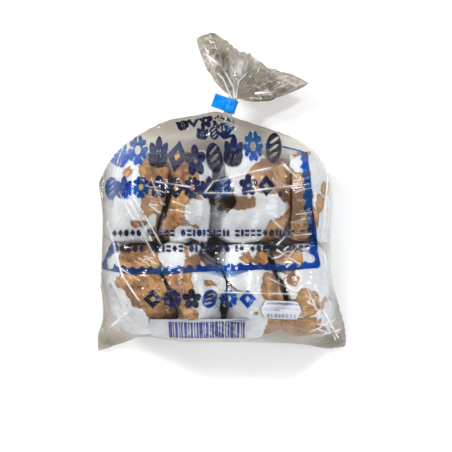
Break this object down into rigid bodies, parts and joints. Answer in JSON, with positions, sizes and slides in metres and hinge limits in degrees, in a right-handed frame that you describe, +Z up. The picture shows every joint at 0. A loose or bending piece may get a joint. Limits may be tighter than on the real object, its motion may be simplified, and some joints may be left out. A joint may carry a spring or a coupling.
{
  "type": "bag of glazed sweet bread rings",
  "caption": "Clear film bag of glazed sweet bread rings, lying on its back, with a gathered neck, a blue closing tape, a fanned film tail and a small white price label",
  "frame": {"origin": "middle of the bounding box in plan, on the table the bag lies on", "axes": "+X across the bag to the right as seen from above with the tail away from the viewer, +Y along the bag from its bottom seam to its tail, +Z up from the table through the front film"},
  "size_m": [0.1847, 0.2349, 0.0712],
  "materials": {
    "film": "gloss",
    "tape": "satin",
    "label": "matte",
    "bread": "matte",
    "glaze": "satin",
    "ink": "gloss"
  },
  "bodies": {
    "root": {"bag": "film", "closure_tape": "tape", "price_label": "label"}
  },
  "joints": []
}
